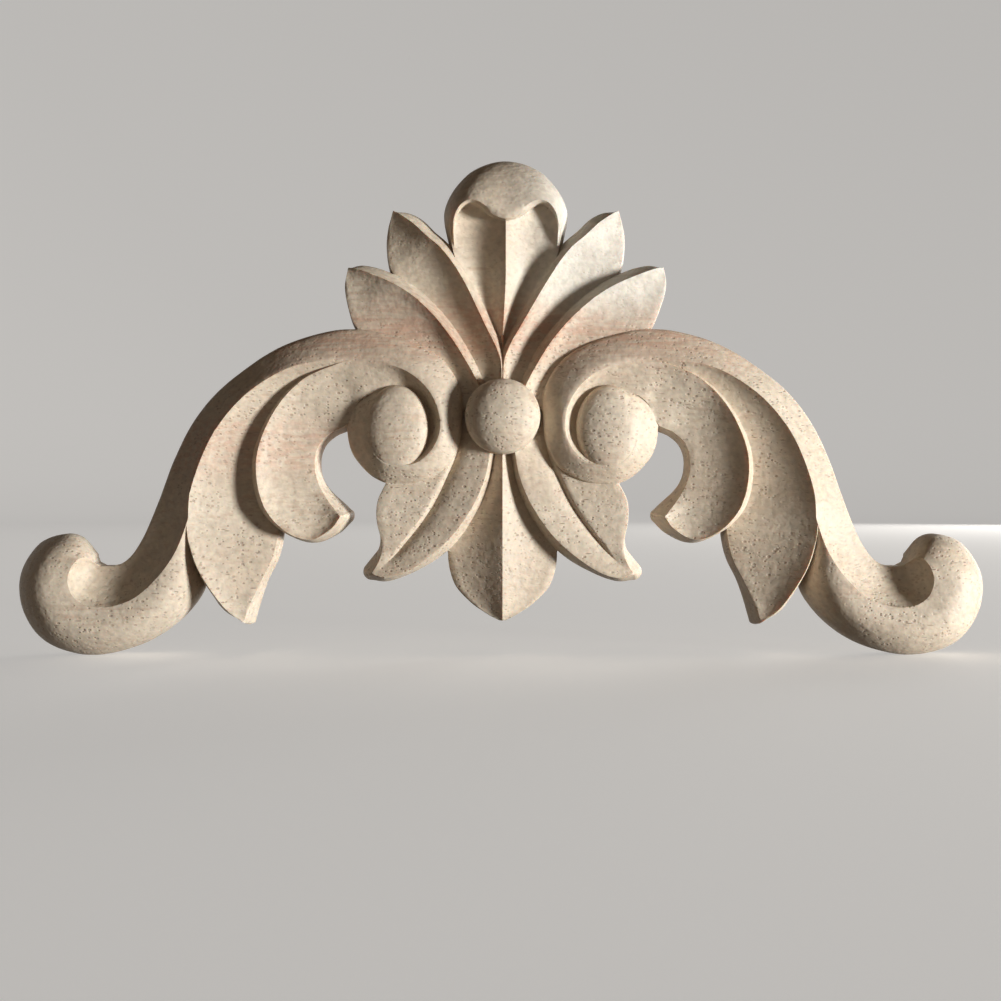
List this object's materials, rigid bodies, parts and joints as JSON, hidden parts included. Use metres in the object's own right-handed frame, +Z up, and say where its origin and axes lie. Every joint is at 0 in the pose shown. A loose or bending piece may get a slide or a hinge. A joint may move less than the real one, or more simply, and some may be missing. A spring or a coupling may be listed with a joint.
{
  "type": "carved corner onlay",
  "caption": "Flat-backed wooden applique carved as a spread acanthus spray: a small shell and petals above scrolling volutes, with leaves that curl out and down on both sides.",
  "frame": {"origin": "on the flat back, behind the centre of the ball in the middle", "axes": "+X to the right as seen from the front, +Z up, the carved face towards -Y and the back at Y = 0"},
  "size_m": [0.1198, 0.0092, 0.0614],
  "materials": {
    "wood": "pale close-grained hardwood, sanded and left bare"
  },
  "bodies": {
    "root": {"carved_onlay": "wood"}
  },
  "joints": []
}
